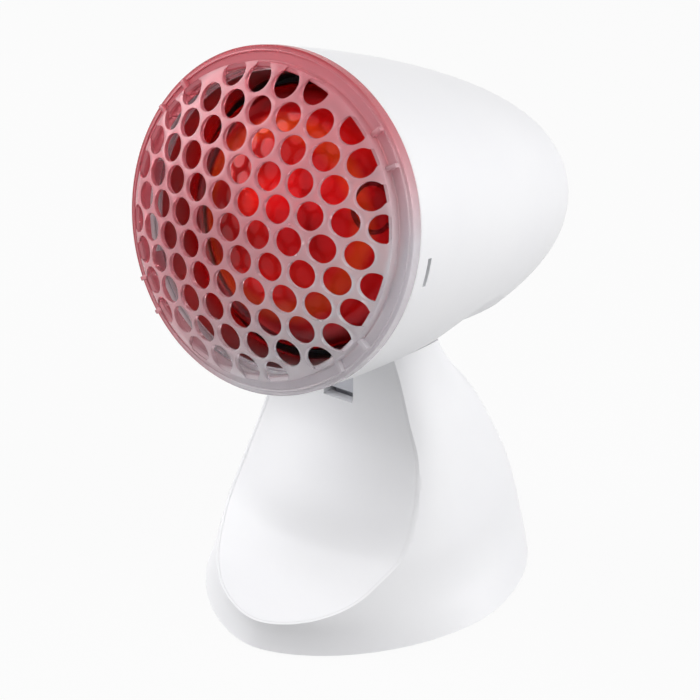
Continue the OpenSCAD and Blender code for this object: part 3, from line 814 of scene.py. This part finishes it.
def tongue(name, degrees):
    """Springy tongue with a barb, spun through a small angle round the head's axis."""
    piece = section(name, BARB)
    bpy.ops.mesh.edge_face_add()
    bpy.ops.mesh.spin(steps=8, angle=math.radians(2 * TONGUE_HALF), center=(0, 0, 0),
                      axis=(0, 0, 1))
    bpy.ops.object.mode_set(mode="OBJECT")
    return turned(closed(piece), degrees - TONGUE_HALF)


extras = [tongue("clip", a) for a in CLIPS] + [tongue("latch", a) for a in LATCHES]
for a in CLIPS:
    for side in (-RIB_AWAY, RIB_AWAY):
        rib = rounded(block("rib", RIB_LOW, RIB_HIGH), RIB_ROUND)
        extras.append(turned(rib, a + side))
for piece in [rim] + extras:
    combine(plate, piece, "UNION")
grille = into_head(closed(plate))
smooth(grille, 35)
print("grille faces:", len(grille.data.polygons))

# %% [markdown]
# The grille is clear polycarbonate: it bends and tints what is behind it and catches white
# highlights along its edges. Polycarbonate has an IOR of 1.585. Its walls pipe the red
# light of the bulb to the rim at the upper left, and that light is painted into the colour:
# a ramp across the head gives the plastic a painted rose glow there, deepest on the
# flange's outer edge, and leaves it clear at the lower right. A low roughness with a little
# unevenness keeps the reflections soft.

# %% Clear polycarbonate
CLEAR_AT, FULL_GLOW_AT, EDGE_FROM, EDGE_TO = -38, 34, 58.3, 59.8
TO_UPPER_LEFT = (-0.7, 0, 0.7)
clear, tree, place = new_material("clear_polycarbonate")
haze = add_node(tree, "ShaderNodeTexNoise", {"Scale": 1 / (9 * MM), "Detail": 2},
                {"Vector": place})
gloss = add_node(tree, "ShaderNodeMapRange", {"To Min": 0.2, "To Max": 0.3},
                 {"Value": haze.outputs["Fac"]})
middle = add_node(tree, "ShaderNodeMapping", {"Location": -FACE}, {"Vector": place})
across = add_node(tree, "ShaderNodeVectorMath", {1: TO_UPPER_LEFT},
                  {0: middle.outputs[0]}, operation="DOT_PRODUCT")
piped = add_node(tree, "ShaderNodeMapRange",
                 {"From Min": CLEAR_AT * MM, "From Max": FULL_GLOW_AT * MM},
                 {"Value": across.outputs["Value"]})
# Painted rose glow across the head, strongest at the upper left and clear at the lower
# right.
tone = add_ramp(tree, piped.outputs[0], [(0, "FAF6FA"), (0.5, "F6BCC4"), (1, "F6A2AC")])
radius = add_node(tree, "ShaderNodeVectorMath", {}, {0: middle.outputs[0]},
                  operation="LENGTH")
edge = add_node(tree, "ShaderNodeMapRange",
                {"From Min": EDGE_FROM * MM, "From Max": EDGE_TO * MM},
                {"Value": radius.outputs["Value"]})
lit = add_node(tree, "ShaderNodeMath", {}, {0: edge.outputs[0], 1: piped.outputs[0]},
               operation="MULTIPLY")
FACTOR, FIRST, SECOND = 0, 6, 7  # sockets of the Mix node for two colours
# Deeper painted glow on the flange's outer edge.
painted_glow = add_node(tree, "ShaderNodeMix", {SECOND: colour("D03848")},
                {FACTOR: lit.outputs[0], FIRST: tone}, data_type="RGBA")
skin = add_node(tree, "ShaderNodeBsdfPrincipled",
                {"IOR": 1.585, "Transmission Weight": 0.62, "Specular IOR Level": 0.3,
                 "Specular Tint": colour("F2D4D8")},
                {"Base Color": painted_glow.outputs[2], "Roughness": gloss.outputs[0]})
add_node(tree, "ShaderNodeOutputMaterial", links={"Surface": skin.outputs[0]})
finishes["grille_clear"] = clear
grille.data.materials.append(clear)
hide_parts("safety_grille")
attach(grille, "grille")

# %% [markdown]
# ## Finishes on the pieces that keep their CAD shape
# Screws, brackets, holder and feet are right as they come from the CAD model. Each CAD
# node gets the finish of its material slot in the record.

# %% Give each CAD node its finish
for part in frame["record"]["subparts"]:
    node = nodes[part["node"]]
    node.data.materials.clear()
    node.data.materials.append(finishes[part["material_slot"]])

# %% [markdown]
# ## Studio
# A product shot on white: a table that runs out of sight, a large soft light from the
# left, a weak one from the front left, and two from the right, one high and one behind.
# The camera sees the surroundings as plain white and the table as nearly so, with a
# trace of the lamp's shade, and so do reflections and glass. The lamps set how bright
# the object is.

# %% What the camera, mirrors and glass see
def by_eye_and_mirror(tree):
    """1 for rays of the camera, of gloss and through glass, and 0 for the soft light."""
    ray = add_node(tree, "ShaderNodeLightPath")
    direct = add_node(tree, "ShaderNodeMath", links={0: ray.outputs["Is Camera Ray"],
                                                     1: ray.outputs["Is Transmission Ray"]},
                      operation="MAXIMUM")
    return add_node(tree, "ShaderNodeMath", links={0: direct.outputs[0],
                                                   1: ray.outputs["Is Glossy Ray"]},
                    operation="MAXIMUM")


# %% Table
only()
bpy.ops.mesh.primitive_plane_add(size=6, location=(0, 0, 0))
table = named("table_top")
paper, tree, place = new_material("white_paper_sweep")
grain = add_node(tree, "ShaderNodeTexNoise", {"Scale": 1 / (3 * MM)}, {"Vector": place})
tone = add_ramp(tree, grain.outputs["Fac"], [(0, "BABABA"), (1, "C0C0C0")])
paper_skin = add_node(tree, "ShaderNodeBsdfDiffuse", links={"Color": tone})
WHITE = (1, 1, 1, 1)
GLOW_SHARE = 0.94
glow = add_node(tree, "ShaderNodeEmission", {"Color": WHITE, "Strength": 1})
seen = by_eye_and_mirror(tree)
share = add_node(tree, "ShaderNodeMath", {1: GLOW_SHARE}, {0: seen.outputs[0]},
                 operation="MULTIPLY")
mixed = add_node(tree, "ShaderNodeMixShader",
                 links={0: share.outputs[0], 1: paper_skin.outputs[0], 2: glow.outputs[0]})
add_node(tree, "ShaderNodeOutputMaterial", links={"Surface": mixed.outputs[0]})
table.data.materials.append(paper)

# %% Surroundings
world = bpy.data.worlds.new("studio")
bpy.context.scene.world = world
world.use_nodes = True
tree = world.node_tree
tree.nodes.clear()
seen = by_eye_and_mirror(tree)
strength = add_node(tree, "ShaderNodeMapRange", {"To Min": 0.08, "To Max": 1.0},
                    {"Value": seen.outputs[0]})
sky = add_node(tree, "ShaderNodeBackground", {"Color": WHITE},
               {"Strength": strength.outputs[0]})
add_node(tree, "ShaderNodeOutputWorld", links={"Surface": sky.outputs[0]})


# %% Lamps and camera
AIM = Vector((0, 0, 0.12))


def soft_light(name, place, size, power):
    """Square area light that looks at the lamp's middle."""
    light = bpy.data.lights.new(name, "AREA")
    light.energy = power
    light.size = size
    lamp = bpy.data.objects.new(name, light)
    bpy.context.scene.collection.objects.link(lamp)
    lamp.location = place
    lamp.rotation_euler = (AIM - Vector(place)).to_track_quat("-Z", "Y").to_euler()


soft_light("left", (-1.6, -0.55, 1.0), 1.6, 30)
soft_light("front_left", (-0.9, -1.3, 1.1), 1.4, 5.5)
soft_light("right_front_high", (1.2, -0.3, 1.5), 2.2, 20)
soft_light("right_rear", (1.5, 0.8, 0.8), 1.3, 18)

SENSOR_MM, FOCAL_PIXELS, PICTURE_PIXELS = 36, 2000, 700
LOOKS_DOWN, LOOKS_LEFT = 26.27, 35.57
lens = bpy.data.cameras.new("photo_view")
lens.lens = SENSOR_MM * FOCAL_PIXELS / PICTURE_PIXELS
camera = bpy.data.objects.new("photo_view", lens)
bpy.context.scene.collection.objects.link(camera)
camera.location = (0.3907, -0.5553, 0.4296)
camera.rotation_euler = (math.radians(90 - LOOKS_DOWN), 0, math.radians(LOOKS_LEFT))
bpy.context.scene.camera = camera
bpy.context.scene.view_settings.view_transform = "Standard"

# %% [markdown]
# ## End
# The script ends with nothing selected.

# %% End
only()
